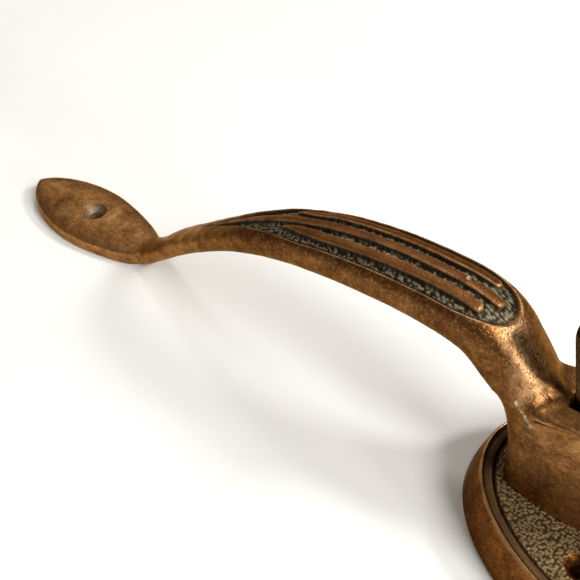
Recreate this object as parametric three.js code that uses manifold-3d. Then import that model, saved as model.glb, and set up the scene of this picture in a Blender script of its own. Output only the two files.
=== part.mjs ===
// Thumb-latch door pull: a cast bronze grip whose neck stands on a hollow thumb housing and an oval plate.
// Millimetres. +X runs up the door from the screw foot to the latch plate, +Z points away from the door,
// and the flat backs of the foot and of the plate lie at z = 0.
import * as THREE from 'three';
import { mergeVertices } from 'three/addons/utils/BufferGeometryUtils.js';
import Module from 'manifold-3d';

const wasm = await Module();
wasm.setup();

// ---- driving dimensions; x is counted from the foot's screw hole until the whole part is centred ----

const gap = 0.3;

const foot = {
  tip: -31.5,
  widestAt: -2.4,
  halfWidth: 13.3,
  neckAt: 28,
  neckHalfWidth: 5.6,
  edge: 5.5,
  crown: 1.8,
  holeRadius: 2.3,
  sinkRadius: 4.3,
  sinkDepth: 2.4,
};

// Sections of the grip: centre x, centre z, half-width, half-thickness.
const gripSections = [
  [18, 2.6, 5.6, 2.9],
  [24, 3.0, 5.6, 3.0],
  [30, 4.8, 5.8, 3.1],
  [37, 10.4, 6.1, 3.2],
  [47.5, 19.9, 6.3, 3.5],
  [64.5, 33.0, 6.5, 3.8],
  [79.5, 43.0, 7.7, 4.8],
  [95, 50.8, 8.9, 6.1],
  [113, 56.6, 10.1, 6.9],
  [134, 59.7, 10.4, 7.3],
  [152, 58.9, 10.4, 7.8],
  [162.6, 51.8, 10.0, 7.8],
  [169.6, 43.8, 9.4, 7.3],
  [173.2, 35.0, 9.0, 6.8],
  [176.2, 23.0, 9.0, 6.4],
  [177.4, 12.3, 9.0, 6.2],
];
const sectionPower = 2.5;
const footPower = 7;
const neckPower = 3.2;
const backPower = 2.05;

// The stippled recess and its ribs; their ends are x values on the grip's outer skin.
const recess = { start: 59, end: 161.2, share: 0.82, rampEnd: 101, roundStart: 144, depth: 1.3 };
const rib = {
  pitch: 4.7,
  halfWidth: 1.45,
  crest: 0.05,
  middleStart: 62,
  middleEnd: 158.8,
  middleSwell: 34,
  sideStart: 95,
  sideEnd: 155.6,
  sideSwell: 9,
  sideDrift: 1.1,
  sideDriftLength: 18,
};

// Housing that runs back from the neck: x at the seat, half-width at the seat, half-width at the top,
// top height, and how far the top leans forward of the seat.
const keelSections = [
  [173.4, 8.4, 9.0, 44.6, 4.2],
  [175.2, 9.1, 10.1, 46.7, 3.4],
  [180, 9.7, 9.9, 47.1, 1.6],
  [185.5, 10.2, 9.0, 47.5, 0.4],
  [191, 10.1, 8.1, 46.6, 0],
  [197, 9.4, 7.2, 43.6, 0],
  [206, 7.9, 6.0, 37.5, 0],
  [217, 6.1, 4.7, 29.4, 0],
  [228, 4.3, 3.4, 21.6, 0],
  [238, 2.5, 2.0, 15.6, 0],
  [243, 1.1, 0.9, 13.2, 0],
];
const keelCorner = 1.2;
// Saddle from the back of the neck down to the slot: x, half-width, top height.
const saddleSections = [
  [168.5, 7.4, 54.6],
  [171.0, 6.3, 53.9],
  [172.8, 5.4, 52.6],
  [174.8, 4.5, 50.3],
  [177.0, 3.5, 48.8],
  [179.2, 2.7, 47.8],
];
const saddleBase = 42;
// Hollow of the housing: x, half-width, roof height.
const hollowSections = [
  [182, 5.9, 40.0],
  [192, 6.1, 40.0],
  [198, 5.9, 36.0],
  [202, 5.6, 30.6],
  [210, 4.6, 30.4],
  [213, 4.0, 26.5],
  [217, 3.4, 23.0],
];
const hollowCorner = { across: 2.5, up: 3 };
const slot = { front: 179.8, back: 192.2, halfWidth: 2.9, corner: 0.9, low: 37, high: 51 };

const plate = {
  centre: 213.4,
  halfLength: 52,
  halfWidth: 35.4,
  rimHeight: 14.5,
  field: 12,
  web: 3,
  wall: 4,
};
const plateScrew = { dx: 13.6, dy: 18.6, holeRadius: 2.2, sinkRadius: 3.7, sinkDepth: 1.5, bossRadius: 5.6 };
const plateUnder = plate.field - plate.web;
const seat = plate.field + gap;

// The pin sits in a blind hole in the near cheek and shows only on the far one.
const pivot = {
  x: 193.3,
  z: 22,
  pinRadius: 2.25,
  pinNear: -7.4,
  pinFar: 10.2,
  pinChamfer: 0.5,
  bore: 0.1,
  hubRadius: 5.4,
  hubHalf: 3.5,
  washerOuter: 4.4,
  washerHalf: 0.6,
};
const thumb = {
  lean: THREE.MathUtils.degToRad(15.5),
  shankHalf: 2.3,
  bladeHalf: 8,
  shoulder: 27,
  bladeStart: 38,
  top: 58,
  corner: 3.6,
  thickness: 4,
};
const spring = { x: 205.5, bottom: 19.4, top: 30.1, radius: 2.6, wire: 0.45, turns: 5.5 };
const arm = { half: 1.8, low: 6.6, lugReach: 7.6, lugTop: 13.6, top: 19 };
const tail = { front: 193.6, rear: 203, low: 1.2, high: 15.8, inner: -2.1, outer: -4.1 };
const rivet = { x: 197.4, heights: [13.4, 9.2], radius: 1, bore: 1.3, headRadius: 2, near: -5.2, far: 2.9 };
const screw = { radius: 2, headRadius: 3.6, headHeight: 3, headDrop: 1.6, slotHalf: 0.5, slotDepth: 1.2 };
const frontScrew = { x: 175.8, top: 24, bore: 25 };
const rearScrew = { x: 226, top: 17.8, bore: 18.6 };
const screwWasherSize = { inner: 2.3, outer: 4.4, half: 0.5 };

// ---- helpers ----

const mix = (a, b, t) => a + (b - a) * t;

function smoothStep(low, high, value) {
  const t = THREE.MathUtils.clamp((value - low) / (high - low), 0, 1);
  return t * t * (3 - 2 * t);
}

function solid(geometry) {
  const bare = geometry.clone();
  bare.deleteAttribute('normal');
  bare.deleteAttribute('uv');
  const merged = mergeVertices(bare, 1e-4);
  return new wasm.Manifold(new wasm.Mesh({
    numProp: 3,
    vertProperties: new Float32Array(merged.attributes.position.array),
    triVerts: new Uint32Array(merged.index.array),
  }));
}

function geometryOf(manifold) {
  const mesh = manifold.getMesh();
  const geometry = new THREE.BufferGeometry();
  geometry.setAttribute('position', new THREE.BufferAttribute(new Float32Array(mesh.vertProperties), 3));
  geometry.setIndex(new THREE.BufferAttribute(new Uint32Array(mesh.triVerts), 1));
  geometry.computeVertexNormals();
  return geometry;
}

function signedVolume(positions, index) {
  let sum = 0;
  const [a, b, c] = [new THREE.Vector3(), new THREE.Vector3(), new THREE.Vector3()];
  for (let i = 0; i < index.length; i += 3) {
    a.fromArray(positions, 3 * index[i]);
    b.fromArray(positions, 3 * index[i + 1]);
    c.fromArray(positions, 3 * index[i + 2]);
    sum += a.dot(b.cross(c));
  }
  return sum;
}

// Joins rings of equal size, given as arrays of [x, y, z], into one closed skin with fans over both ends.
function loft(rings) {
  const count = rings[0].length;
  const positions = rings.flat(2);
  const index = [];
  for (let r = 0; r < rings.length - 1; r += 1) {
    for (let i = 0; i < count; i += 1) {
      const a = r * count + i;
      const b = r * count + (i + 1) % count;
      index.push(a, b, b + count, a, b + count, a + count);
    }
  }
  const addCap = (ringStart, flip) => {
    const centre = [0, 0, 0];
    for (let i = 0; i < count; i += 1) {
      for (let k = 0; k < 3; k += 1) {
        centre[k] += positions[3 * (ringStart + i) + k] / count;
      }
    }
    const apex = positions.length / 3;
    positions.push(...centre);
    for (let i = 0; i < count; i += 1) {
      const a = ringStart + i;
      const b = ringStart + (i + 1) % count;
      index.push(apex, flip ? b : a, flip ? a : b);
    }
  };
  addCap(0, true);
  addCap((rings.length - 1) * count, false);
  if (signedVolume(positions, index) < 0) {
    index.reverse();
  }
  const geometry = new THREE.BufferGeometry();
  geometry.setAttribute('position', new THREE.Float32BufferAttribute(positions, 3));
  geometry.setIndex(index);
  return geometry;
}

// Catmull-Rom value of the table's columns at a fractional row.
function sampleRows(rows, at) {
  const last = rows.length - 1;
  const i = Math.min(Math.floor(at), last - 1);
  const t = at - i;
  const row = (k) => rows[THREE.MathUtils.clamp(k, 0, last)];
  return rows[0].map((_, column) => {
    const p1 = row(i)[column];
    const p2 = row(i + 1)[column];
    const m1 = (p2 - row(i - 1)[column]) / (i > 0 ? 2 : 1);
    const m2 = (row(i + 2)[column] - p1) / (i + 2 <= last ? 2 : 1);
    const h = t * t * (3 - 2 * t);
    return mix(p1, p2, h) + (t * (1 - t) * (1 - t)) * m1 - (t * t * (1 - t)) * m2;
  });
}

// Fractional row of the table at which its first column reaches x.
function rowAtX(rows, x) {
  let low = 0;
  let high = rows.length - 1;
  for (let step = 0; step < 40; step += 1) {
    const middle = (low + high) / 2;
    if (sampleRows(rows, middle)[0] < x) {
      low = middle;
    } else {
      high = middle;
    }
  }
  return (low + high) / 2;
}

function cylinder(radius, length, segments = 32) {
  return new THREE.CylinderGeometry(radius, radius, length, segments);
}

function uprightCylinder(radius, x, y, zLow, zHigh, segments = 32) {
  const geometry = cylinder(radius, zHigh - zLow, segments);
  geometry.rotateX(Math.PI / 2);
  geometry.translate(x, y, (zLow + zHigh) / 2);
  return geometry;
}

function crossCylinder(radius, x, z, yLow, yHigh, segments = 32) {
  const geometry = cylinder(radius, yHigh - yLow, segments);
  geometry.translate(x, (yLow + yHigh) / 2, z);
  return geometry;
}

function turned(profile, x, y, segments = 32) {
  const points = profile.map(([radius, height]) => new THREE.Vector2(radius, height));
  const geometry = new THREE.LatheGeometry(points, segments);
  geometry.rotateX(Math.PI / 2);
  geometry.translate(x, y, 0);
  return geometry;
}

function box(xLow, xHigh, yLow, yHigh, zLow, zHigh) {
  const geometry = new THREE.BoxGeometry(xHigh - xLow, yHigh - yLow, zHigh - zLow);
  geometry.translate((xLow + xHigh) / 2, (yLow + yHigh) / 2, (zLow + zHigh) / 2);
  return geometry;
}

// A side view drawn in x and z, thickened from yLow to yHigh.
function sideProfile(shape, yLow, yHigh) {
  const depth = yHigh - yLow;
  const geometry = new THREE.ExtrudeGeometry(shape, { depth, bevelEnabled: false, curveSegments: 8 });
  geometry.rotateX(Math.PI / 2);
  geometry.translate(0, yHigh, 0);
  return geometry;
}

// ---- pull handle: foot, grip and neck as one sweep ----

const footSide = new THREE.CurvePath();
footSide.add(new THREE.CubicBezierCurve(
  new THREE.Vector2(foot.tip, 0),
  new THREE.Vector2(foot.tip, 5),
  new THREE.Vector2(foot.widestAt - 18, foot.halfWidth),
  new THREE.Vector2(foot.widestAt, foot.halfWidth),
));
footSide.add(new THREE.CubicBezierCurve(
  new THREE.Vector2(foot.widestAt, foot.halfWidth),
  new THREE.Vector2(foot.widestAt + 9, foot.halfWidth),
  new THREE.Vector2(foot.neckAt - 4.1, foot.neckHalfWidth + 3.4),
  new THREE.Vector2(foot.neckAt, foot.neckHalfWidth),
));

function crossSection(halfWidth, halfThickness, lowPower, highPower, crown, count) {
  const points = [];
  for (let i = 0; i < count; i += 1) {
    const angle = (2 * Math.PI * i) / count;
    const c = Math.cos(angle);
    const s = Math.sin(angle);
    const power = s > 0 ? highPower : lowPower;
    const across = Math.sign(c) * Math.abs(c) ** (2 / power);
    const up = Math.sign(s) * Math.abs(s) ** (2 / power);
    const lift = s > 1e-9 ? crown * (1 - across * across) : 0;
    points.push([halfWidth * across, halfThickness * up + lift]);
  }
  return points;
}

const footPoints = footSide.getPoints(40);

// The foot's outline narrows down to the grip's own width.
function halfWidthAt(x, gripHalfWidth) {
  const i = footPoints.findIndex((point) => point.x > x);
  if (i < 1) {
    return gripHalfWidth;
  }
  const [a, b] = [footPoints[i - 1], footPoints[i]];
  return Math.max(mix(a.y, b.y, (x - a.x) / (b.x - a.x)), gripHalfWidth);
}

function placeSection(section, centre, slope, lowest) {
  return section.map(([across, up]) => [
    centre[0] - Math.sin(slope) * up,
    across,
    Math.max(centre[1] + Math.cos(slope) * up, lowest),
  ]);
}

function slopeAt(row) {
  const step = 0.02;
  const before = sampleRows(gripSections, Math.max(row - step, 0));
  const after = sampleRows(gripSections, Math.min(row + step, gripSections.length - 1));
  return Math.atan2(after[1] - before[1], after[0] - before[0]);
}

function sweepHandle() {
  const ringSize = 24;
  const rings = [];
  const footSteps = 8;
  for (const curve of footSide.curves) {
    const isTip = curve === footSide.curves[0];
    for (let i = isTip ? 1 : 0; i < footSteps; i += 1) {
      const point = curve.getPoint(i / footSteps);
      if (point.x < gripSections[0][0]) {
        const crown = foot.crown * Math.sqrt(point.y / foot.halfWidth);
        const section = crossSection(point.y, gripSections[0][3], footPower, footPower, crown, ringSize);
        rings.push(placeSection(section, [point.x, foot.edge - gripSections[0][3]], 0, 0));
      }
    }
  }
  const gripSteps = 45;
  const lastRow = gripSections.length - 1;
  for (let i = 0; i <= gripSteps; i += 1) {
    const row = (lastRow * i) / gripSteps;
    const [x, z, gripHalfWidth, halfThickness] = sampleRows(gripSections, row);
    const halfWidth = halfWidthAt(x, gripHalfWidth);
    const footShare = 1 - smoothStep(20, 36, x);
    const neckShare = smoothStep(173, 176.5, x);
    const power = mix(sectionPower, footPower, footShare) + (neckPower - sectionPower) * neckShare;
    const topPower = mix(power, backPower, smoothStep(158, 166, x));
    const crown = foot.crown * footShare * Math.sqrt(halfWidth / foot.halfWidth);
    const section = crossSection(halfWidth, halfThickness, power, topPower, crown, ringSize);
    const slope = i === gripSteps ? -Math.PI / 2 : slopeAt(row);
    rings.push(placeSection(section, [x, z], slope, i > gripSteps / 2 ? seat : 0));
  }
  return solid(loft(rings));
}

// Point of the grip's outer skin at a row, moved by a lift along the skin's middle normal.
function topPoint(row, across, lift) {
  const [x, z, halfWidth, halfThickness] = sampleRows(gripSections, row);
  const slope = slopeAt(row);
  const share = Math.min(Math.abs(across) / halfWidth, 0.999);
  const up = halfThickness * (1 - share ** sectionPower) ** (1 / sectionPower) + lift;
  return [x - Math.sin(slope) * up, across, z + Math.cos(slope) * up];
}

function recessHalfWidth(x, halfWidth) {
  const ramp = THREE.MathUtils.clamp((x - recess.start) / (recess.rampEnd - recess.start), 0, 1);
  const round = THREE.MathUtils.clamp((x - recess.roundStart) / (recess.end - recess.roundStart), 0, 1);
  return halfWidth * recess.share * (1 - (1 - ramp) ** 1.45) * (1 - round ** 2.5) ** 0.4;
}

const skinRows = gripSections.map((_, row) => topPoint(row, 0, 0));

// Rows from one skin x to another, closer together near the last one.
function rowsBetween(xStart, xEnd, steps) {
  const first = rowAtX(skinRows, xStart);
  const last = rowAtX(skinRows, xEnd);
  return Array.from({ length: steps + 1 }, (_, i) => mix(first, last, Math.sin((Math.PI * i) / (2 * steps))));
}

function recessTool() {
  const lanes = [-1, -0.7, -0.35, 0, 0.35, 0.7, 1];
  const rings = rowsBetween(recess.start + 0.4, recess.end - 0.02, 28).map((row) => {
    const halfWidth = sampleRows(gripSections, row)[2];
    const reach = Math.max(recessHalfWidth(topPoint(row, 0, 0)[0], halfWidth), 0.25);
    const floor = lanes.map((lane) => topPoint(row, lane * reach, -recess.depth));
    const cover = lanes.map((lane) => topPoint(row, -lane * reach * 1.04, 3));
    return [...floor, ...cover];
  });
  return solid(loft(rings));
}

function ribSolid(side) {
  const start = side === 0 ? rib.middleStart : rib.sideStart;
  const end = side === 0 ? rib.middleEnd : rib.sideEnd;
  const swellLength = side === 0 ? rib.middleSwell : rib.sideSwell;
  const root = -recess.depth - 0.6;
  const section = [[-1, root], [1, root], [1, -0.5], [0.6, -rib.crest], [-0.6, -rib.crest], [-1, -0.5]];
  const rings = rowsBetween(start, end, 18).map((row) => {
    const x = topPoint(row, 0, 0)[0];
    const swell = Math.sqrt(smoothStep(start - 1, start + swellLength, x));
    const halfWidth = rib.halfWidth * Math.max(swell, 0.2);
    const drift = rib.sideDrift * (1 - smoothStep(start, start + rib.sideDriftLength, x));
    const centre = side * (rib.pitch - drift);
    return section.map(([lane, lift]) => topPoint(row, centre + lane * halfWidth, lift));
  });
  return solid(loft(rings));
}

// ---- pull handle: thumb housing ----

function keelRing([x, seatHalf, topHalf, top, lean]) {
  const corner = Math.min(keelCorner, topHalf * 0.4);
  const ease = corner * 0.3;
  const half = [
    [seatHalf, seat],
    [mix(seatHalf, topHalf, 0.5), mix(seat, top - corner, 0.5)],
    [topHalf, top - corner],
    [topHalf - ease, top - ease],
    [topHalf - corner, top],
  ];
  const mirrored = half.map(([y, z]) => [-y, z]).reverse();
  const leaned = (z) => x - (lean * (z - seat)) / (top - seat);
  return [...half, [0, top - 0.1], ...mirrored].map(([y, z]) => [leaned(z), y, z]);
}

function keel() {
  const steps = 24;
  const rings = Array.from({ length: steps + 1 }, (_, i) => (
    keelRing(sampleRows(keelSections, ((keelSections.length - 1) * i) / steps))
  ));
  return solid(loft(rings));
}

function saddle() {
  const arc = Array.from({ length: 9 }, (_, i) => (Math.PI * i) / 8);
  return solid(loft(saddleSections.map(([x, halfWidth, top]) => [
    ...arc.map((angle) => [x, halfWidth * Math.cos(angle), mix(saddleBase + 2, top, Math.sin(angle))]),
    [x, -halfWidth, saddleBase],
    [x, halfWidth, saddleBase],
  ])));
}

// Grown on every side by the extra, so that the plate's opening clears the hollow.
function hollow(extra) {
  const low = -5;
  const last = hollowSections.length - 1;
  const rings = hollowSections.map(([x, halfWidth, roof], i) => {
    const half = halfWidth + extra;
    const at = x + extra * (Number(i === last) - Number(i === 0));
    const shoulder = roof - hollowCorner.up;
    const ceiling = half - hollowCorner.across;
    return [
      [at, -half, low],
      [at, half, low],
      [at, half, shoulder],
      [at, ceiling, roof],
      [at, -ceiling, roof],
      [at, -half, shoulder],
    ];
  });
  return solid(loft(rings));
}

function slotTool() {
  const shape = new THREE.Shape();
  const r = slot.corner;
  const side = slot.halfWidth - r;
  shape.absarc(slot.front + r, side, r, Math.PI / 2, Math.PI, false);
  shape.absarc(slot.front + r, -side, r, Math.PI, (3 * Math.PI) / 2, false);
  shape.absarc(slot.back - r, -side, r, -Math.PI / 2, 0, false);
  shape.absarc(slot.back - r, side, r, 0, Math.PI / 2, false);
  const depth = slot.high - slot.low;
  const geometry = new THREE.ExtrudeGeometry(shape, { depth, bevelEnabled: false, curveSegments: 4 });
  geometry.translate(0, 0, slot.low);
  return solid(geometry);
}

// Cutter for a countersunk screw hole whose rim is at the given height.
function countersink({ holeRadius, sinkRadius, sinkDepth }, rim, x, y, segments) {
  return solid(turned([
    [0, -1],
    [holeRadius, -1],
    [holeRadius, rim - sinkDepth],
    [sinkRadius, rim],
    [sinkRadius, rim + 2],
    [0, rim + 2],
  ], x, y, segments));
}

function pullHandle() {
  let body = sweepHandle().subtract(recessTool());
  for (const side of [-1, 0, 1]) {
    body = body.add(ribSolid(side));
  }
  body = body.add(keel()).add(saddle()).subtract(hollow(0)).subtract(slotTool());
  body = body.subtract(countersink(foot, foot.edge + foot.crown, 0, 0, 32));
  const boreNear = pivot.pinNear - pivot.bore;
  const pinBore = crossCylinder(pivot.pinRadius + pivot.bore, pivot.x, pivot.z, boreNear, 20);
  body = body.subtract(solid(pinBore));
  for (const { x, bore } of [frontScrew, rearScrew]) {
    body = body.subtract(solid(uprightCylinder(screw.radius + gap, x, 0, 0, bore)));
  }
  return geometryOf(body);
}

// ---- latch plate ----

// Inset from the plate's outline against height, up the outside and over the rim to the field.
const plateOutside = [
  [0, 0],
  [0.5, 4],
  [1.3, 9],
  [2.3, 13.4],
  [2.8, plate.rimHeight],
  [3.6, plate.rimHeight - 0.1],
  [4.1, plate.field + 0.7],
  [4.7, plate.field + 0.5],
  [5.2, plate.field + 1.3],
  [6.1, plate.field + 1.3],
  [6.7, plate.field],
];

function plateRing(inset, z) {
  const count = 56;
  return Array.from({ length: count }, (_, i) => {
    const angle = (2 * Math.PI * i) / count;
    return [
      plate.centre + (plate.halfLength - inset) * Math.cos(angle),
      (plate.halfWidth - inset) * Math.sin(angle),
      z,
    ];
  });
}

function latchPlate() {
  const outer = solid(loft(plateOutside.map(([inset, z]) => plateRing(inset, z))));
  const inside = [[plate.wall, -1], [plate.wall + 1, plateUnder - 1.5], [plate.wall + 2.5, plateUnder]];
  const inner = solid(loft(inside.map(([inset, z]) => plateRing(inset, z))));
  let body = outer.subtract(inner);
  for (const sx of [-1, 1]) {
    for (const sy of [-1, 1]) {
      const x = plate.centre + sx * plateScrew.dx;
      const y = sy * plateScrew.dy;
      body = body.add(solid(uprightCylinder(plateScrew.bossRadius, x, y, 0, plateUnder + 1, 24)));
      body = body.subtract(countersink(plateScrew, plate.field, x, y, 24));
    }
  }
  body = body.subtract(hollow(gap));
  for (const { x } of [frontScrew, rearScrew]) {
    body = body.subtract(solid(uprightCylinder(screwWasherSize.inner + 0.1, x, 0, -1, plate.field + 2, 20)));
  }
  return geometryOf(body);
}

// ---- thumb lever, tail and rivets ----

function thumbBlade() {
  const t = thumb;
  const shape = new THREE.Shape();
  shape.moveTo(-t.shankHalf, 0);
  shape.lineTo(-t.shankHalf, t.shoulder);
  shape.bezierCurveTo(
    -t.shankHalf, t.shoulder + 6, -t.bladeHalf, t.bladeStart - 6, -t.bladeHalf, t.bladeStart,
  );
  shape.lineTo(-t.bladeHalf, t.top - t.corner);
  shape.quadraticCurveTo(-t.bladeHalf, t.top - 0.6, -t.bladeHalf + t.corner, t.top - 0.4);
  shape.quadraticCurveTo(0, t.top + 0.6, t.bladeHalf - t.corner, t.top - 0.4);
  shape.quadraticCurveTo(t.bladeHalf, t.top - 0.6, t.bladeHalf, t.top - t.corner);
  shape.lineTo(t.bladeHalf, t.bladeStart);
  shape.bezierCurveTo(t.bladeHalf, t.bladeStart - 6, t.shankHalf, t.shoulder + 6, t.shankHalf, t.shoulder);
  shape.lineTo(t.shankHalf, 0);
  const geometry = new THREE.ExtrudeGeometry(shape, {
    depth: t.thickness - 1,
    bevelEnabled: true,
    bevelThickness: 0.5,
    bevelSize: 0.5,
    bevelOffset: -0.5,
    bevelSegments: 1,
    curveSegments: 6,
  });
  geometry.translate(0, 0, -(t.thickness - 1) / 2);
  geometry.rotateX(Math.PI / 2);
  geometry.rotateZ(Math.PI / 2);
  geometry.rotateY(-t.lean);
  geometry.translate(pivot.x, 0, pivot.z);
  return geometry;
}

// The arm hangs from the hub: a lug that carries the tail, and a seat for the return spring.
function leverArm() {
  const lugEnd = pivot.x + arm.lugReach;
  const seatEnd = spring.x + 4;
  const shape = new THREE.Shape();
  shape.moveTo(pivot.x - 3, pivot.z);
  shape.lineTo(pivot.x - 2, arm.low + 2.4);
  shape.quadraticCurveTo(pivot.x - 1.6, arm.low + 0.2, pivot.x + 1, arm.low);
  shape.lineTo(lugEnd - 1.2, arm.low);
  shape.quadraticCurveTo(lugEnd, arm.low + 0.2, lugEnd, arm.low + 2);
  shape.lineTo(lugEnd, arm.lugTop);
  shape.lineTo(seatEnd - 1.4, arm.lugTop + 1.6);
  shape.quadraticCurveTo(seatEnd, arm.lugTop + 2, seatEnd, arm.top - 2);
  shape.lineTo(seatEnd, arm.top - 1);
  shape.lineTo(seatEnd - 1, arm.top);
  shape.lineTo(spring.x - 4, arm.top);
  shape.quadraticCurveTo(pivot.x + 5.6, arm.top + 0.4, pivot.x + 3.6, pivot.z + 2);
  return sideProfile(shape, -arm.half, arm.half);
}

function cutRivetHoles(body) {
  return rivet.heights.reduce((left, z) => (
    left.subtract(solid(crossCylinder(rivet.bore, rivet.x, z, -9, 9, 16)))
  ), body);
}

function thumbLever() {
  let body = solid(thumbBlade()).add(solid(leverArm()));
  body = body.add(solid(crossCylinder(pivot.hubRadius, pivot.x, pivot.z, -pivot.hubHalf, pivot.hubHalf)));
  body = body.subtract(solid(crossCylinder(pivot.pinRadius + pivot.bore, pivot.x, pivot.z, -9, 9)));
  return geometryOf(cutRivetHoles(body));
}

// Riveted strip whose hooked foot lifts the latch bar.
function liftTail() {
  const { front, rear, low, high } = tail;
  const shape = new THREE.Shape();
  shape.moveTo(front, high);
  shape.lineTo(front, low + 2.8);
  shape.quadraticCurveTo(front + 0.2, low + 0.2, front + 3.6, low);
  shape.lineTo(rear - 1.6, low);
  shape.quadraticCurveTo(rear, low + 0.2, rear, low + 1.8);
  shape.quadraticCurveTo(rear - 0.2, low + 3.2, rear - 1.6, low + 3.8);
  shape.lineTo(rear - 1.8, high - 1);
  shape.quadraticCurveTo(rear - 1.9, high, rear - 2.8, high);
  return geometryOf(cutRivetHoles(solid(sideProfile(shape, tail.outer, tail.inner))));
}

function tailRivet(z) {
  const { radius, headRadius, near, far } = rivet;
  const profile = [
    [0, near],
    [headRadius - 0.5, near],
    [headRadius, near + 0.4],
    [headRadius, near + 0.8],
    [radius, near + 0.8],
    [radius, far - 0.8],
    [headRadius, far - 0.8],
    [headRadius, far - 0.4],
    [headRadius - 0.5, far],
    [0, far],
  ];
  const geometry = new THREE.LatheGeometry(profile.map(([r, y]) => new THREE.Vector2(r, y)), 16);
  geometry.translate(rivet.x, 0, z);
  return geometry;
}

// ---- pivot, spring and fasteners ----

function pivotPin() {
  const { pinRadius, pinNear, pinFar, pinChamfer } = pivot;
  const profile = [
    [0, pinNear],
    [pinRadius - pinChamfer, pinNear],
    [pinRadius, pinNear + pinChamfer],
    [pinRadius, pinFar - pinChamfer],
    [pinRadius - pinChamfer, pinFar],
    [0, pinFar],
  ];
  const geometry = new THREE.LatheGeometry(profile.map(([r, y]) => new THREE.Vector2(r, y)), 28);
  geometry.translate(pivot.x, 0, pivot.z);
  return geometry;
}

function flatRing(inner, outer, half, segments) {
  const profile = [[inner, -half], [outer, -half], [outer, half], [inner, half], [inner, -half]];
  return new THREE.LatheGeometry(profile.map(([radius, y]) => new THREE.Vector2(radius, y)), segments);
}

function pivotWasher(side) {
  const geometry = flatRing(pivot.pinRadius + 0.15, pivot.washerOuter, pivot.washerHalf, 28);
  geometry.translate(pivot.x, side * (pivot.hubHalf + pivot.washerHalf + gap), pivot.z);
  return geometry;
}

class Helix extends THREE.Curve {
  getPoint(t, target = new THREE.Vector3()) {
    const angle = 2 * Math.PI * spring.turns * t;
    return target.set(
      spring.x + spring.radius * Math.cos(angle),
      spring.radius * Math.sin(angle),
      mix(spring.bottom + spring.wire, spring.top - spring.wire, t),
    );
  }
}

function returnSpring() {
  const wire = new THREE.Shape();
  wire.absarc(0, 0, spring.wire, 0, 2 * Math.PI, false);
  return new THREE.ExtrudeGeometry(wire, {
    steps: Math.round(spring.turns * 11),
    extrudePath: new Helix(),
    curveSegments: 3,
    bevelEnabled: false,
  });
}

// Put in from behind the plate, with the slotted head towards the door.
function housingScrew({ x, top }) {
  const headTop = plateUnder - screw.headDrop;
  const headLow = headTop - screw.headHeight;
  const turnedScrew = solid(turned([
    [0, headLow],
    [screw.headRadius - 0.6, headLow],
    [screw.headRadius, headLow + 0.6],
    [screw.headRadius, headTop],
    [screw.radius, headTop],
    [screw.radius, top - 1],
    [screw.radius - 0.8, top],
    [0, top],
  ], x, 0, 24));
  const slotTop = headLow + screw.slotDepth;
  const driverSlot = box(x - screw.slotHalf, x + screw.slotHalf, -5, 5, headLow - 1, slotTop);
  return geometryOf(turnedScrew.subtract(solid(driverSlot)));
}

function screwWasher({ x }) {
  const { inner, outer, half } = screwWasherSize;
  const geometry = flatRing(inner, outer, half, 24);
  geometry.rotateX(Math.PI / 2);
  geometry.translate(x, 0, plateUnder - gap - half);
  return geometry;
}

// ---- materials and assembly ----

const metal = (color, roughness, metalness) => (
  new THREE.MeshStandardMaterial({ color, roughness, metalness })
);
const bronze = metal(0x8a5632, 0.42, 0.9);
const darkBronze = metal(0x6b4a30, 0.5, 0.85);
const patinaBronze = metal(0x7f6a4a, 0.6, 0.75);
const steel = metal(0x6d6c69, 0.5, 0.9);

const pieces = [
  ['pull_handle', pullHandle(), bronze],
  ['latch_plate', latchPlate(), patinaBronze],
  ['thumb_lever', thumbLever(), darkBronze],
  ['lift_tail', liftTail(), steel],
  ['tail_rivet_upper', tailRivet(rivet.heights[0]), steel],
  ['tail_rivet_lower', tailRivet(rivet.heights[1]), steel],
  ['pivot_pin', pivotPin(), darkBronze],
  ['pivot_washer_near', pivotWasher(-1), steel],
  ['pivot_washer_far', pivotWasher(1), steel],
  ['return_spring', returnSpring(), steel],
  ['housing_screw_front', housingScrew(frontScrew), steel],
  ['housing_screw_rear', housingScrew(rearScrew), steel],
  ['screw_washer_front', screwWasher(frontScrew), steel],
  ['screw_washer_rear', screwWasher(rearScrew), steel],
];

const doorPull = new THREE.Group();
doorPull.name = 'door_pull';
for (const [name, geometry, material] of pieces) {
  const mesh = new THREE.Mesh(geometry, material);
  mesh.name = name;
  doorPull.add(mesh);
}
// The row's origin is the middle of the whole length, on the door's face.
doorPull.position.x = -(foot.tip + plate.centre + plate.halfLength) / 2;

export default doorPull;
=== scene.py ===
# Looks of the thumb-latch door pull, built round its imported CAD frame.
# Shapes are worked out in millimetres with x counted from the foot's screw hole, then placed in metres.
import math

import bmesh
import bpy
import numpy as np
from mathutils import Matrix, Vector


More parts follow.
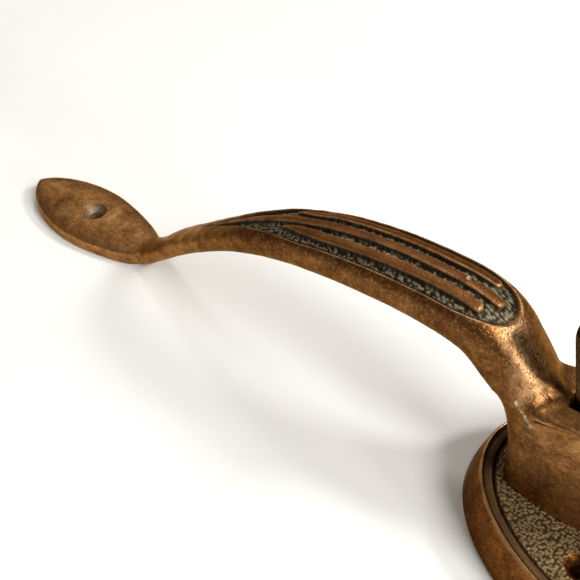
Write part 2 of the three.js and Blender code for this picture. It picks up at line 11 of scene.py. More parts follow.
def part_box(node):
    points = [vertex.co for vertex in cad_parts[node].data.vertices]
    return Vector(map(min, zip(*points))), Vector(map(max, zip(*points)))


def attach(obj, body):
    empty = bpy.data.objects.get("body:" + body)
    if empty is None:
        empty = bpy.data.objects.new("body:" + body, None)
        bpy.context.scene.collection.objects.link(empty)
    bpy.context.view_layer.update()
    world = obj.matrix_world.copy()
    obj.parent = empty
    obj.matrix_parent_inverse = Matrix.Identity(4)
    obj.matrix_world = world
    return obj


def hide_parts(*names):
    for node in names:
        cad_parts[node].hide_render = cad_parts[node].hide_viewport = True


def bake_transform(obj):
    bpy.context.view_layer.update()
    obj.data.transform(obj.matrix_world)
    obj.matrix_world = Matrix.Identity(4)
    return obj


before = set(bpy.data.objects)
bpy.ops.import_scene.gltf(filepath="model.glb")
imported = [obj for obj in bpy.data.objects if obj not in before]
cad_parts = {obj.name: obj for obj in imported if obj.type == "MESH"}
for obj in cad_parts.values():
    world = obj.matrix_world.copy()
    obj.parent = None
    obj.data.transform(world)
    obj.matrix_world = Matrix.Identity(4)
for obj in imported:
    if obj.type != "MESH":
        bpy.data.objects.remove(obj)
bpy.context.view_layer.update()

MM = 0.001
PLATE_LOW, PLATE_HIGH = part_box("latch_plate")
PLATE_X = 213.4
HOLE_X = (PLATE_LOW[0] + PLATE_HIGH[0]) / 2 - PLATE_X * MM
PLATE_HALF_LENGTH = (PLATE_HIGH[0] - PLATE_LOW[0]) / 2 / MM
PLATE_HALF_WIDTH = (PLATE_HIGH[1] - PLATE_LOW[1]) / 2 / MM
FIELD = 12.0
SEAT = 12.3

FOOT_TIP, FOOT_WIDEST, FOOT_NECK = -31.5, -2.4, 28.0
FOOT_HALF_WIDTH, FOOT_NECK_HALF_WIDTH = 13.3, 5.6
FOOT_EDGE, FOOT_CROWN = 5.5, 1.8
FOOT_POWER, GRIP_POWER, NECK_POWER, BACK_POWER = 7.0, 2.5, 3.2, 2.05

# Centre x, centre z, half-width, half-thickness of the grip.
GRIP = np.array([
    (18, 2.6, 5.6, 2.9), (24, 3.0, 5.6, 3.0), (30, 4.8, 5.8, 3.1), (37, 10.4, 6.1, 3.2),
    (47.5, 19.9, 6.3, 3.5), (64.5, 33.0, 6.5, 3.8), (79.5, 43.0, 7.7, 4.8), (95, 50.8, 8.9, 6.1),
    (113, 56.6, 10.1, 6.9), (134, 59.7, 10.4, 7.3), (152, 58.9, 10.4, 7.8), (162.6, 51.8, 10.0, 7.8),
    (169.6, 43.8, 9.4, 7.3), (173.2, 35.0, 9.0, 6.8), (176.2, 23.0, 9.0, 6.4), (177.4, 12.3, 9.0, 6.2),
], float)

RECESS_START, RECESS_END, RECESS_SHARE = 57.0, 161.4, 0.83
RECESS_RAMP_END, RECESS_ROUND_START, RECESS_DEPTH = 101.0, 144.0, 1.5
RIB_PITCH, RIB_HALF = 4.7, 1.5
MIDDLE_RIB, SIDE_RIB = (60.0, 158.0), (93.0, 154.6)

# Housing behind the neck: x, half-width at the seat and at the top, top height, forward lean of the top.
KEEL = np.array([
    (173.4, 8.4, 9.0, 44.6, 4.2), (175.2, 9.1, 10.1, 46.7, 3.4), (180, 9.7, 9.9, 47.1, 1.6),
    (185.5, 10.2, 9.0, 47.5, 0.4), (191, 10.1, 8.1, 46.6, 0), (197, 9.4, 7.2, 43.6, 0),
    (206, 7.9, 6.0, 37.5, 0), (217, 6.1, 4.7, 29.4, 0), (228, 4.3, 3.4, 21.6, 0),
    (238, 2.5, 2.0, 15.6, 0), (243, 1.1, 0.9, 13.2, 0),
], float)
# How far the crease lies under the top of the housing, along x.
CREASE_DROP = ((175, 180, 186), (2.7, 1.6, 0.7))
# Saddle from the back of the neck down to the slot: x, half-width, top height.
SADDLE = np.array([
    (168.5, 7.4, 54.6), (171.0, 6.3, 53.9), (172.8, 5.4, 52.6),
    (174.8, 4.5, 50.3), (177.0, 3.5, 48.8), (179.2, 2.7, 47.8),
], float)
HOLLOW = ((182, 5.9, 40.0), (192, 6.1, 40.0), (198, 5.9, 36.0), (202, 5.6, 30.6),
          (210, 4.6, 30.4), (213, 4.0, 26.5), (217, 3.4, 23.0))
SLOT_FRONT, SLOT_BACK, SLOT_HALF = 179.8, 192.2, 2.9
PIVOT_X, PIVOT_Z, PIN_RADIUS, PIN_NEAR, PIN_FAR = 193.3, 22.0, 2.25, -7.4, 10.2
SCREW_FRONT_X, SCREW_REAR_X = 175.8, 226.0


# ---- numbers ----

def clamp01(value):
    return np.clip(value, 0.0, 1.0)


def smooth(low, high, value):
    t = clamp01((value - low) / (high - low))
    return t * t * (3 - 2 * t)


def sample_rows(rows, at):
    """Catmull-Rom values of the table's columns at fractional rows."""
    at = np.atleast_1d(np.asarray(at, float))
    last = len(rows) - 1
    i = np.minimum(at.astype(int), last - 1)
    t = (at - i)[:, None]
    before, after = rows[np.maximum(i - 1, 0)], rows[np.minimum(i + 2, last)]
    p1, p2 = rows[i], rows[i + 1]
    m1 = (p2 - before) / np.where(i > 0, 2, 1)[:, None]
    m2 = (after - p1) / np.where(i + 2 <= last, 2, 1)[:, None]
    h = t * t * (3 - 2 * t)
    return p1 + (p2 - p1) * h + t * (1 - t) ** 2 * m1 - t * t * (1 - t) * m2


def hash01(ix, iy, iz, seed):
    """Repeatable values from 0 to 1 for whole-number cells."""
    n = (ix.astype(np.int64) * 73856093) ^ (iy.astype(np.int64) * 19349663)
    n ^= (iz.astype(np.int64) * 83492791) ^ (seed * 2654435)
    n = (n ^ (n >> 13)) * 1274126177 & 0x7FFFFFFF
    n = (n ^ (n >> 16)) * 668265263 & 0x7FFFFFFF
    return (n & 0xFFFFF) / float(0xFFFFF)


def value_noise(points, cell, seed=0):
    """Smooth noise from -1 to 1 over points in millimetres."""
    p = points / cell
    base = np.floor(p).astype(np.int64)
    f = p - base
    f = f * f * (3 - 2 * f)
    total = np.zeros(len(p))
    for dx in (0, 1):
        for dy in (0, 1):
            for dz in (0, 1):
                weight = np.abs(1 - dx - f[:, 0]) * np.abs(1 - dy - f[:, 1]) * np.abs(1 - dz - f[:, 2])
                total += weight * hash01(base[:, 0] + dx, base[:, 1] + dy, base[:, 2] + dz, seed)
    return 2 * total - 1


def stipple(u, v, pitch, seed=0):
    """Small rounded grains, 0 to 1, scattered about a grid of the given pitch."""
    rise = np.zeros(len(u))
    for dv in (-1, 0, 1):
        for du in (-1, 0, 1):
            cx, cy = np.floor(u / pitch) + du, np.floor(v / pitch) + dv
            zero = np.zeros_like(cx)
            px = (cx + 0.12 + 0.76 * hash01(cx, cy, zero, seed)) * pitch
            py = (cy + 0.12 + 0.76 * hash01(cx, cy, zero, seed + 7)) * pitch
            radius = pitch * (0.42 + 0.2 * hash01(cx, cy, zero, seed + 13))
            away = np.hypot(u - px, v - py) / radius
            rise = np.maximum(rise, np.sqrt(clamp01(1 - away ** 2)))
    return rise


# ---- meshes ----

def make_object(name, points, faces, attributes=None):
    """A smooth-shaded object from millimetre points, placed in the frame in metres."""
    world = np.asarray(points, float) * MM
    world[:, 0] += HOLE_X
    mesh = bpy.data.meshes.new(name)
    mesh.from_pydata(world.tolist(), [], faces)
    mesh.update()
    for key, values in (attributes or {}).items():
        layer = mesh.attributes.new(key, "FLOAT", "POINT")
        layer.data.foreach_set("value", np.asarray(values, np.float32))
    piece = bpy.data.objects.new(name, mesh)
    bpy.context.scene.collection.objects.link(piece)
    face_outward(piece)
    mesh.polygons.foreach_set("use_smooth", [True] * len(mesh.polygons))
    return piece


def face_outward(piece):
    edit = bmesh.new()
    edit.from_mesh(piece.data)
    bmesh.ops.recalc_face_normals(edit, faces=edit.faces)
    if edit.calc_volume(signed=True) < 0:
        bmesh.ops.reverse_faces(edit, faces=edit.faces)
    edit.to_mesh(piece.data)
    edit.free()


def ring_faces(ring_count, ring_size, caps=True):
    faces = []
    for r in range(ring_count - 1):
        low = r * ring_size
        for i in range(ring_size):
            j = (i + 1) % ring_size
            faces.append((low + i, low + j, low + ring_size + j, low + ring_size + i))
    if caps:
        faces.append(tuple(range(ring_size))[::-1])
        top = (ring_count - 1) * ring_size
        faces.append(tuple(range(top, top + ring_size)))
    return faces


def loft(name, rings, attributes=None):
    rings = np.asarray(rings, float)
    count, size = rings.shape[:2]
    return make_object(name, rings.reshape(-1, 3), ring_faces(count, size), attributes)


def lathe(name, profile, centre, axis="z", segments=64):
    """Turns (radius, height) points, from axis to axis, about a line through the centre."""
    angles = np.linspace(0, 2 * np.pi, segments, endpoint=False)
    inner = profile[1:-1]
    rings = []
    for radius, height in inner:
        flat = np.stack([radius * np.cos(angles), radius * np.sin(angles), np.full(segments, height)], 1)
        rings.append(flat)
    points = np.concatenate(rings + [[(0, 0, profile[0][1])], [(0, 0, profile[-1][1])]])
    faces = ring_faces(len(inner), segments, caps=False)
    first, last = len(points) - 2, len(points) - 1
    top = (len(inner) - 1) * segments
    for i in range(segments):
        j = (i + 1) % segments
        faces.append((first, j, i))
        faces.append((last, top + i, top + j))
    return make_object(name, turn_to(points, axis) + np.array(centre, float), faces)


def ring_lathe(name, profile, centre, axis="z", segments=64):
    """Turns a closed (radius, height) outline that stays clear of the axis."""
    angles = np.linspace(0, 2 * np.pi, segments, endpoint=False)
    outline = np.array(profile, float)
    radius, height = outline[:, 0], outline[:, 1]
    rings = np.stack([
        np.outer(np.cos(angles), radius),
        np.outer(np.sin(angles), radius),
        np.tile(height, (segments, 1)),
    ], 2)
    size = len(outline)
    faces = ring_faces(segments, size, caps=False)
    last = (segments - 1) * size
    for i in range(size):
        j = (i + 1) % size
        faces.append((last + i, last + j, j, i))
    return make_object(name, turn_to(rings.reshape(-1, 3), axis) + np.array(centre, float), faces)


def turn_to(points, axis):
    if axis == "y":
        return np.stack([points[:, 0], points[:, 2], -points[:, 1]], 1)
    return points


def rounded(corners, radius, steps=4):
    """Outline points with each corner rounded off."""
    out = []
    count = len(corners)
    for k in range(count):
        a, b, c = (np.array(corners[(k + d) % count], float) for d in (-1, 0, 1))
        cut = min(radius, np.linalg.norm(a - b) * 0.45, np.linalg.norm(c - b) * 0.45)
        start = b + (a - b) / np.linalg.norm(a - b) * cut
        end = b + (c - b) / np.linalg.norm(c - b) * cut
        for s in range(steps + 1):
            t = s / steps
            out.append((1 - t) ** 2 * start + 2 * t * (1 - t) * b + t * t * end)
    return np.array(out)


def prism(name, outline, low, high, axis="y", bevel=0.25):
    """An outline in x and z thickened along y, or in x and y along z, with its rims eased."""
    outline = np.array(outline, float)
    centre = outline.mean(0)
    shrink = 1 - bevel / np.abs(outline - centre).max()
    inner = centre + (outline - centre) * shrink
    levels = [(inner, low), (outline, low + bevel), (outline, high - bevel), (inner, high)]
    rings = []
    for shape, level in levels:
        column = np.full(len(shape), level)
        if axis == "y":
            rings.append(np.stack([shape[:, 0], column, shape[:, 1]], 1))
        else:
            rings.append(np.stack([shape[:, 0], shape[:, 1], column], 1))
    return loft(name, rings)


def combine(piece, tool, operation):
    """Joins or cuts a piece with a tool, and removes the tool."""
    modifier = piece.modifiers.new("join", "BOOLEAN")
    modifier.operation = operation
    modifier.object = tool
    modifier.solver = "MANIFOLD"
    graph = bpy.context.evaluated_depsgraph_get()
    graph.update()
    view = piece.evaluated_get(graph)
    result = bpy.data.meshes.new_from_object(view, preserve_all_data_layers=True, depsgraph=graph)
    piece.modifiers.clear()
    old = piece.data
    piece.data = result
    result.name = piece.name
    bpy.data.meshes.remove(old)
    bpy.data.objects.remove(tool)
    return piece


def cut(piece, tool):
    return combine(piece, tool, "DIFFERENCE")


def join(piece, tool):
    return combine(piece, tool, "UNION")


# ---- handle casting ----

def bezier(points, t):
    t = np.asarray(t)[:, None]
    a, b, c, d = (np.array(p, float) for p in points)
    return (1 - t) ** 3 * a + 3 * (1 - t) ** 2 * t * b + 3 * (1 - t) * t * t * c + t ** 3 * d


FOOT_OUTLINE = np.concatenate([
    bezier([(FOOT_TIP, 0), (FOOT_TIP, 5),
            (FOOT_WIDEST - 18, FOOT_HALF_WIDTH), (FOOT_WIDEST, FOOT_HALF_WIDTH)],
           np.linspace(0, 1, 120)),
    bezier([(FOOT_WIDEST, FOOT_HALF_WIDTH), (FOOT_WIDEST + 9, FOOT_HALF_WIDTH),
            (FOOT_NECK - 4.1, FOOT_NECK_HALF_WIDTH + 3.4), (FOOT_NECK, FOOT_NECK_HALF_WIDTH)],
           np.linspace(0, 1, 120))[1:],
])


def handle_stations():
    """Columns centre x, centre z, slope, half-width, half-thickness of every ring, foot tip to seat."""
    dense = np.linspace(0, len(GRIP) - 1, 4001)
    table = sample_rows(GRIP, dense)
    slope = np.unwrap(np.arctan2(np.gradient(table[:, 1]), np.gradient(table[:, 0])))
    length = np.concatenate([[0], np.cumsum(np.hypot(np.diff(table[:, 0]), np.diff(table[:, 1])))])
    grip_s = np.linspace(0, length[-1], int(length[-1] / 0.42))
    grip = np.stack([np.interp(grip_s, length, column) for column in (*table.T[:2], slope, *table.T[2:])], 1)
    grip[0, 2] = 0
    grip[-1, 2] = -math.pi / 2
    near_tip = FOOT_TIP + 2.2 * np.linspace(0.08, 1, 14) ** 2
    foot_x = np.concatenate([near_tip, np.arange(near_tip[-1] + 0.45, GRIP[0, 0] - 0.2, 0.5)])
    foot = np.zeros((len(foot_x), 5))
    foot[:, 0], foot[:, 1], foot[:, 4] = foot_x, GRIP[0, 1], GRIP[0, 3]
    stations = np.concatenate([foot, grip])
    outline = np.interp(stations[:, 0], FOOT_OUTLINE[:, 0], FOOT_OUTLINE[:, 1], right=0)
    stations[:, 3] = np.maximum(stations[:, 3], outline)
    return stations


def recess_reach(x, half_width):
    ramp = clamp01((x - RECESS_START) / (RECESS_RAMP_END - RECESS_START))
    round_off = clamp01((x - RECESS_ROUND_START) / (RECESS_END - RECESS_ROUND_START))
    return half_width * RECESS_SHARE * (1 - (1 - ramp) ** 1.45) * (1 - round_off ** 2.5) ** 0.4


def recess_shape(x, across, half_width, along):
    """Depth below the skin, then floor, crest, grain and groove shares, for points of the grip's top."""
    step = 0.5
    reach = recess_reach(x, half_width)
    lean = (recess_reach(x + step, half_width) - recess_reach(x - step, half_width)) / (2 * step)
    inside = (reach - np.abs(across)) / np.hypot(1, lean)
    inside = np.where((x <= RECESS_START) | (x >= RECESS_END), -5, inside)
    floor = smooth(-0.15, 0.75, inside)
    rib_rise = np.zeros_like(x)
    crest = np.zeros_like(x)
    for side in (-1, 0, 1):
        start, end = MIDDLE_RIB if side == 0 else SIDE_RIB
        swell = np.sqrt(smooth(start - 1, start + (34 if side == 0 else 10), x))
        middle = side * (RIB_PITCH - 1.1 * (1 - smooth(start, start + 18, x)))
        wobble = 0.12 * np.sin(x / 9.0 + side * 2.1)
        beyond = np.maximum(np.maximum(start - x, x - (end - RIB_HALF)), 0)
        off = across - middle - wobble
        inside_rib = RIB_HALF * np.maximum(swell, 0.15) - np.hypot(off, beyond)
        rise = smooth(-0.3, 0.38, inside_rib)
        rib_rise = np.maximum(rib_rise, rise * (1 - 0.09 * (off / RIB_HALF) ** 2))
        crest = np.maximum(crest, smooth(0.1, 0.6, inside_rib))
    depth = RECESS_DEPTH * floor * (1 - 0.97 * rib_rise)
    grains = stipple(along, across, 1.0, 3) * floor * smooth(0.3, 0.9, inside) * (1 - rib_rise)
    rib_foot = smooth(0.05, 0.3, rib_rise) * (1 - smooth(0.4, 0.8, rib_rise))
    edge = floor * (1 - smooth(0.5, 1.5, inside)) + rib_foot
    return depth - 0.24 * grains, floor * (1 - crest), crest * floor, grains, clamp01(edge) * floor


def handle_sweep():
    stations = handle_stations()
    around, fine = 150, 720
    angle = np.linspace(-math.pi / 2, 1.5 * math.pi, fine, endpoint=False)
    cos, sin = np.cos(angle), np.sin(angle)
    rings, looks = [], []
    run = np.concatenate([[0], np.cumsum(np.hypot(np.diff(stations[:, 0]), np.diff(stations[:, 1])))])
    for (x, z, slope, half_width, half_thickness), along in zip(stations, run):
        foot_share = 1 - float(smooth(20, 36, x))
        power = GRIP_POWER + (FOOT_POWER - GRIP_POWER) * foot_share
        power += (NECK_POWER - GRIP_POWER) * float(smooth(173, 176.5, x))
        back = float(smooth(158, 166, x))
        power = np.where(sin > 0, power + (BACK_POWER - power) * back, power)
        crown = FOOT_CROWN * foot_share * math.sqrt(half_width / FOOT_HALF_WIDTH)
        across = np.sign(cos) * np.abs(cos) ** (2 / power)
        up = np.sign(sin) * np.abs(sin) ** (2 / power)
        height = half_thickness * up + np.where(sin > 0, crown * (1 - across ** 2), 0)
        wide = half_width * across
        step = np.hypot(np.diff(wide, append=wide[0]), np.diff(height, append=height[0]))
        weight = np.where((up > 0.3) & (np.abs(across) < 0.93), 1 + 1.3 * (1 - foot_share), 1.0)
        travel = np.concatenate([[0], np.cumsum(step * weight)])
        marks = np.linspace(0, travel[-1], around, endpoint=False)
        wide = np.interp(marks, travel, np.append(wide, wide[0]))
        height = np.interp(marks, travel, np.append(height, height[0]))
        skin_x = x - math.sin(slope) * half_thickness
        on_top = smooth(0.15, 0.4, height / half_thickness)
        depth, *look = recess_shape(np.full(around, skin_x), wide, half_width, np.full(around, along))
        height = height - depth * on_top
        lowest = SEAT if x > 170 else 0
        ring = np.stack([
            x - math.sin(slope) * height,
            wide,
            np.maximum(z + math.cos(slope) * height, lowest),
        ], 1)
        rings.append(ring)
        looks.append(np.array(look) * on_top)
    rings = np.array(rings)
    points = rings.reshape(-1, 3)
    floors, crests, grains, edges = np.concatenate(looks, axis=1)
    normals = outward(rings).reshape(-1, 3)
    bumps = 0.10 * value_noise(points, 7.0, 1) + 0.05 * value_noise(points, 2.6, 2)
    bumps *= (1 - 0.7 * floors) * (points[:, 2] > SEAT + 0.4) + 0.4 * (points[:, 2] > 1) * (points[:, 0] < 25)
    points = points + normals * bumps[:, None]
    faces = ring_faces(len(rings), around)
    looks = {"floor": floors, "crest": crests, "grain": grains, "groove_and_shade": edges}
    return make_object("handle_casting", points, faces, looks)


def outward(rings):
    """Rough outward directions of a ring mesh."""
    along = np.gradient(rings, axis=0)
    around = np.roll(rings, -1, axis=1) - np.roll(rings, 1, axis=1)
    normal = np.cross(around, along)
    normal /= np.maximum(np.linalg.norm(normal, axis=2, keepdims=True), 1e-9)
    centre = rings.mean(axis=1, keepdims=True)
    side = np.sign(np.sum(normal * (rings - centre), axis=2, keepdims=True))
    return normal * np.where(side == 0, 1, side)


def keel_section(seat_half, top_half, top, drop):
    """Right half of the housing's section as (across, up) from the seat to the middle of the top."""
    overhang, undercut = 0.45, 0.15
    side_half, side_top = top_half - overhang, top - drop - undercut
    side_t = np.linspace(0, 1, 60)
    side = np.stack([seat_half + (side_half - seat_half) * side_t, SEAT + (side_top - SEAT) * side_t], 1)
    radius = min(drop, top_half * 0.5)
    turn = np.linspace(0, math.pi / 2, 14)
    shoulder = np.stack([
        top_half - radius + radius * np.cos(turn),
        top - radius + radius * np.sin(turn),
    ], 1)
    ledge = np.linspace(top_half - radius, 0, 16)[1:]
    lid = np.stack([ledge, top - 0.25 * (1 - (ledge / top_half) ** 2)], 1)
    return np.concatenate([side, shoulder, lid])


def keel():
    last = len(KEEL) - 1
    dense = sample_rows(KEEL, np.linspace(0, last, 2001))
    x_marks = np.concatenate([np.arange(KEEL[0, 0], 190, 0.33), np.arange(190, KEEL[-1, 0], 0.6)])
    rings = []
    for x in x_marks:
        seat_half, top_half, top, lean = (np.interp(x, dense[:, 0], dense[:, k]) for k in (1, 2, 3, 4))
        half = keel_section(seat_half, top_half, top, np.interp(x, *CREASE_DROP))
        floor = np.linspace(-seat_half, seat_half, 18)[1:-1]
        loop = np.concatenate([half, (half * [-1, 1])[::-1][1:], np.stack([floor, np.full(16, SEAT)], 1)])
        leaned = x - lean * (loop[:, 1:] - SEAT) / (top - SEAT)
        rings.append(np.concatenate([leaned, loop], 1))
    rings = np.array(rings)
    points = rings.reshape(-1, 3)
    shoulder = smooth(-4.5, -2.0, points[:, 2] - np.interp(points[:, 0], dense[:, 0], dense[:, 3]))
    lift = (0.06 + 0.14 * shoulder) * value_noise(points, 1.5, 5) + 0.08 * value_noise(points, 6.0, 6)
    lift *= points[:, 2] > SEAT + 0.3
    points = points + outward(rings).reshape(-1, 3) * lift[:, None]
    return make_object("keel", points, ring_faces(*rings.shape[:2]))


def saddle():
    rings = []
    arc = np.linspace(0, math.pi, 40)
    for x, half_width, top in sample_rows(SADDLE, np.linspace(0, len(SADDLE) - 1, 28)):
        up = 44 + (top - 44) * np.sin(arc)
        ring = np.stack([np.full(40, x), half_width * np.cos(arc), up], 1)
        rings.append(np.concatenate([ring, [(x, -half_width, 42), (x, half_width, 42)]]))
    return loft("saddle", rings)


def hollow_tool(extra=0.0):
    rings = []
    last = len(HOLLOW) - 1
    for i, (x, half, roof) in enumerate(HOLLOW):
        half = half + extra
        at = x - extra if i == 0 else x + extra if i == last else x
        corners = [(-half, -5), (half, -5), (half, roof - 3)]
        corners += [(half - 2.5, roof), (2.5 - half, roof), (-half, roof - 3)]
        rings.append([(at, y, z) for y, z in corners])
    return loft("hollow_tool", rings)


def slot_tool():
    corners = [
        (SLOT_FRONT, SLOT_HALF), (SLOT_FRONT, -SLOT_HALF),
        (SLOT_BACK, -SLOT_HALF), (SLOT_BACK, SLOT_HALF),
    ]
    outline = rounded(corners, 1.2, 6)
    levels = (37, 44.2, 45.2, 46.0, 46.6, 47.2, 49)
    flares = (0, 0, 0.03, 0.1, 0.25, 0.5, 1.0)
    centre = np.array([(SLOT_FRONT + SLOT_BACK) / 2, 0])
    rings = []
    for level, flare in zip(levels, flares):
        away = outline - centre
        away /= np.linalg.norm(away, axis=1, keepdims=True)
        spread = outline + away * flare
        rings.append(np.concatenate([spread, np.full((len(spread), 1), level)], 1))
    return loft("slot_tool", rings)


def bore_tool(name, radius, centre, low, high, axis="z"):
    return lathe(name, [(0, low), (radius, low), (radius, high), (0, high)], centre, axis, 48)


def soften(piece, weight, rounds):
    """Relaxes a mesh by a weight from 0 to 1 over millimetre points, to blend a join into a fillet."""
    mesh = piece.data
    at, a, b = mesh_arrays(mesh)
    local = at / MM - np.array([HOLE_X / MM, 0, 0])
    share = weight(local)
    keep = (share[a] > 0) | (share[b] > 0)
    a, b = a[keep], b[keep]
    count = len(at)
    links = np.maximum(np.bincount(a, minlength=count) + np.bincount(b, minlength=count), 1)
    for _ in range(rounds):
        for k in range(3):
            near = np.bincount(a, at[b, k], count) + np.bincount(b, at[a, k], count)
            at[:, k] += 0.5 * share * (near / links - at[:, k])
    mesh.vertices.foreach_set("co", at.ravel())
    mesh.update()


def mesh_arrays(mesh):
    at = np.empty(len(mesh.vertices) * 3)
    mesh.vertices.foreach_get("co", at)
    ends = np.empty(len(mesh.edges) * 2, np.int64)
    mesh.edges.foreach_get("vertices", ends)
    a, b = ends.reshape(-1, 2).T
    return at.reshape(-1, 3), a, b


NECK_ROWS = sample_rows(GRIP, np.linspace(10.5, 15, 70))


def neck_gap(points):
    """How far points lie outside the neck's skin, roughly, in millimetres."""
    flat = points[:, [0, 2]]
    away = np.linalg.norm(flat[:, None] - NECK_ROWS[None, :, :2], axis=2)
    nearest = NECK_ROWS[np.argmin(away, axis=1)]
    power = 2.4
    reach = (np.abs(points[:, 1]) / nearest[:, 2]) ** power + (away.min(axis=1) / nearest[:, 3]) ** power
    return (reach ** (1 / power) - 1) * nearest[:, 3]


def shoulder_blend(points):
    """Weight of the fillet where the neck, the saddle and the housing meet."""
    x, _, z = points.T
    region = (x > 163) & (x < 188) & (z > SEAT + 1.5) & (z < 58)
    share = np.zeros(len(points))
    chosen = points[region]
    gap = neck_gap(chosen)
    near = smooth(-3.5, -0.8, gap) * (1 - smooth(1.2, 4.0, gap))
    on_saddle = smooth(46.4, 47.4, chosen[:, 2]) * (1 - smooth(55, 58, chosen[:, 2])) * (chosen[:, 0] > 168)
    share[region] = np.maximum(near, 0.8 * on_saddle) * (1 - smooth(182, 187, chosen[:, 0]))
    share[region] *= smooth(SEAT + 1.5, SEAT + 6, chosen[:, 2])
    at_crease = smooth(174, 176, chosen[:, 0]) * smooth(7.6, 8.6, np.abs(chosen[:, 1]))
    share[region] *= 1 - 0.93 * at_crease
    return share


def handle_casting():
    piece = join(join(handle_sweep(), keel()), saddle())
    soften(piece, shoulder_blend, 90)
    sink_top = FOOT_EDGE + FOOT_CROWN - 0.1
    tools = join(hollow_tool(), slot_tool())
    join(tools, lathe("sink_tool", [
        (0, -1), (2.3, -1), (2.3, sink_top - 3.1), (2.45, sink_top - 2.7), (4.2, sink_top - 0.25),
        (4.7, sink_top + 0.1), (5.2, sink_top + 2), (0, sink_top + 2),
    ], (0, 0, 0), "z", 72))
    join(tools, bore_tool("pin_tool", PIN_RADIUS + 0.1, (PIVOT_X, 0, PIVOT_Z), PIN_NEAR - 0.1, 20, "y"))
    join(tools, bore_tool("front_tool", 2.3, (SCREW_FRONT_X, 0, 0), 0, 25))
    join(tools, bore_tool("rear_tool", 2.3, (SCREW_REAR_X, 0, 0), 0, 18.6))
    cut(piece, tools)
    mark_flecks(piece)
    return piece


# Pale specks on the casting: a flaw in the near flank and two flecks of paint, as ends, radius and strength.
FLECKS = (
    ((169.4, -9.3, 46.4), (170.3, -9.5, 45.6), 0.42, 1.0),
    ((170.9, -9.6, 45.2), (172.6, -9.7, 43.8), 0.3, 0.8),
    ((173.2, -9.7, 43.2), (175.0, -9.9, 41.2), 0.75, 0.42),
    ((147.0, 0.4, 67.2), (147.0, 0.9, 67.2), 0.5, 1.0),
    ((118.6, -8.6, 60.2), (118.6, -8.3, 60.4), 0.3, 0.8),
)


# Middle of the painted highlight on the back of the neck, behind the grip.
HIGHLIGHT_ENDS = ((163.0, -3.0, 61.5), (170.5, -5.5, 50.5))


def stored(mesh, key):
    values = np.empty(len(mesh.vertices), np.float32)
    mesh.attributes[key].data.foreach_get("value", values)
    return values


def mark_flecks(piece):
    """Raises the flecks a little and stores them, the painted highlight on the neck, the screw sink with
    painted shade in its bore, and the crease's painted shadow line.
    """
    mesh = piece.data
    at, _, _ = mesh_arrays(mesh)
    local = at / MM - np.array([HOLE_X / MM, 0, 0])
    normal = np.empty(len(at) * 3)
    mesh.vertices.foreach_get("normal", normal)
    pale = np.zeros(len(at))
    raised = np.zeros(len(at))
    for start, end, radius, strength in FLECKS:
        start, end = np.array(start), np.array(end)
        run = end - start
        t = clamp01((local - start) @ run / (run @ run))
        away = np.linalg.norm(local - start - t[:, None] * run, axis=1)
        away += 0.35 * value_noise(local, 0.8, 41)
        mark = 1 - smooth(radius * 0.6, radius * 1.3, away)
        pale = np.maximum(pale, strength * mark)
        raised = np.maximum(raised, mark)
    at += normal.reshape(-1, 3) * (0.25 * raised * MM)[:, None]
    mesh.vertices.foreach_set("co", at.ravel())
    radius = np.hypot(local[:, 0], local[:, 1])
    # Painted highlight: a lighter patch on the back of the neck, standing for a lamp's reflection.
    high, low = np.array(HIGHLIGHT_ENDS)
    t = clamp01((local - high) @ (low - high) / np.sum((low - high) ** 2))
    neck_highlight = 1 - smooth(1.0, 6.0, np.linalg.norm(local - high - t[:, None] * (low - high), axis=1))
    mesh.attributes.new("neck_highlight", "FLOAT", "POINT").data.foreach_set("value", (0.5 * neck_highlight).astype(np.float32))
    sunk = 1 - smooth(4.0, 4.8, radius)
    pale = np.maximum(pale, 0.3 * smooth(2.3, 2.5, radius) * (1 - smooth(3.2, 4.2, radius)))
    # Painted shade: the walls of the foot's screw bore are drawn dark.
    bore_and_crease_shade = 1 - smooth(2.3, 2.5, radius)
    for key, strength in (("floor", 0.85), ("grain", 0.5)):
        mesh.attributes[key].data.foreach_set("value", np.maximum(stored(mesh, key), strength * sunk))
    layer = mesh.attributes.new("pale", "FLOAT", "POINT")
    layer.data.foreach_set("value", pale.astype(np.float32))
    # Painted shadow: a dark line along the crease, under the shoulder's small step.
    line = np.interp(local[:, 0], KEEL[:, 0], KEEL[:, 3]) - np.interp(local[:, 0], *CREASE_DROP)
    crease = (1 - smooth(0.15, 0.6, np.abs(local[:, 2] - line))) * smooth(6.5, 7.5, np.abs(local[:, 1]))
    crease *= smooth(174.3, 175.3, local[:, 0]) * (1 - smooth(200, 215, local[:, 0]))
    bore_and_crease_shade = np.maximum(bore_and_crease_shade, crease)
    mesh.attributes["groove_and_shade"].data.foreach_set("value", np.maximum(stored(mesh, "groove_and_shade"), bore_and_crease_shade))
    mesh.update()


# ---- latch plate ----

# Inset from the plate's outline and height, up the wall, over the rim and the bead to the field.
PLATE_SKIN = np.array([
    (0.25, 0), (0.05, 0.3), (0.0, 0.8), (0.3, 4), (1.0, 8), (1.7, 11), (2.2, 12.9), (2.5, 13.8), (2.75, 14.3),
    (3.0, 14.48), (3.2, 14.4), (3.35, 14.1), (3.45, 13.5), (3.55, 13.2), (3.7, 13.2), (3.9, 13.4),
    (4.3, 13.55), (4.8, 13.6), (5.4, 13.5), (5.9, 13.2), (6.25, 12.6), (6.5, 11.95), (6.8, 11.62),
    (7.1, 11.6), (7.4, 11.72), (7.6, 11.8),
], float)
HOLE_DX, HOLE_DY = 13.6, 18.6


def plate_rings(insets, heights, around):
    angle = np.linspace(0, 2 * np.pi, around, endpoint=False)
    cos, sin = np.cos(angle), np.sin(angle)
    insets, heights = np.array(insets)[:, None], np.array(heights)[:, None]
    x = PLATE_X + (PLATE_HALF_LENGTH - insets) * cos
    y = (PLATE_HALF_WIDTH - insets) * sin
    return np.stack([x, y, np.broadcast_to(heights, x.shape)], 2)


